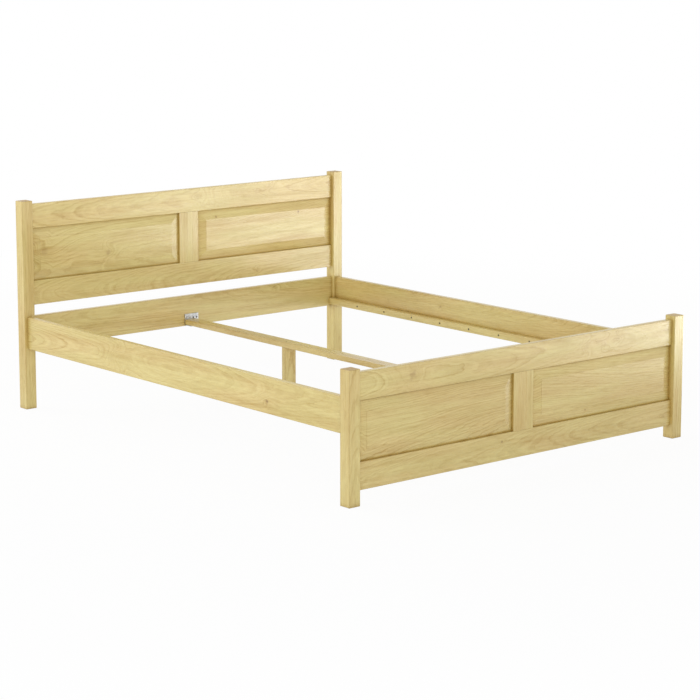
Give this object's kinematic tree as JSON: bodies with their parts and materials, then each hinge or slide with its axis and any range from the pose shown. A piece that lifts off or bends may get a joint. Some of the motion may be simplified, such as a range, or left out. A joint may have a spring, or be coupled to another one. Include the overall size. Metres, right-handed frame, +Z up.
{
  "type": "panel bed",
  "caption": "Solid wood double bed frame with raised-panel headboard and footboard, side rails with slat ledges, and a centre beam on legs.",
  "frame": {"origin": "on the floor, under the middle of the bed's outline", "axes": "+Z up; X across the bed, +X to the right seen from the footboard; +Y along the bed towards the headboard"},
  "size_m": [1.694, 2.12, 0.863],
  "materials": {
    "wood": "pale oiled or clear lacquered solid wood with satin sheen",
    "bracket_steel": "zinc-plated bent sheet",
    "plate_steel": "zinc-plated stamped plate",
    "screw": "dark burnished countersunk screws"
  },
  "bodies": {
    "root": {"beam_bracket_foot": "bracket_steel", "beam_bracket_head": "bracket_steel", "bracket_beam_screws": "screw", "bracket_board_screws": "screw", "catch_plate_foot_left": "plate_steel", "catch_plate_foot_right": "plate_steel", "catch_plate_head_left": "plate_steel", "catch_plate_head_right": "plate_steel", "catch_plate_screws": "screw", "centre_beam": "wood", "centre_leg_foot": "wood", "centre_leg_head": "wood", "foot_bottom_rail": "wood", "foot_panel_left": "wood", "foot_panel_right": "wood", "foot_post_left": "wood", "foot_post_right": "wood", "foot_stile": "wood", "foot_top_rail": "wood", "head_cross_board": "wood", "head_panel_left": "wood", "head_panel_rail": "wood", "head_panel_right": "wood", "head_post_left": "wood", "head_post_right": "wood", "head_stile": "wood", "head_top_rail": "wood", "hook_plate_foot_left": "plate_steel", "hook_plate_foot_right": "plate_steel", "hook_plate_head_left": "plate_steel", "hook_plate_head_right": "plate_steel", "hook_plate_screws": "screw", "ledger_left": "wood", "ledger_right": "wood", "ledger_screws_left": "screw", "ledger_screws_right": "screw", "leg_screws": "screw", "side_rail_left": "wood", "side_rail_right": "wood"}
  },
  "joints": []
}
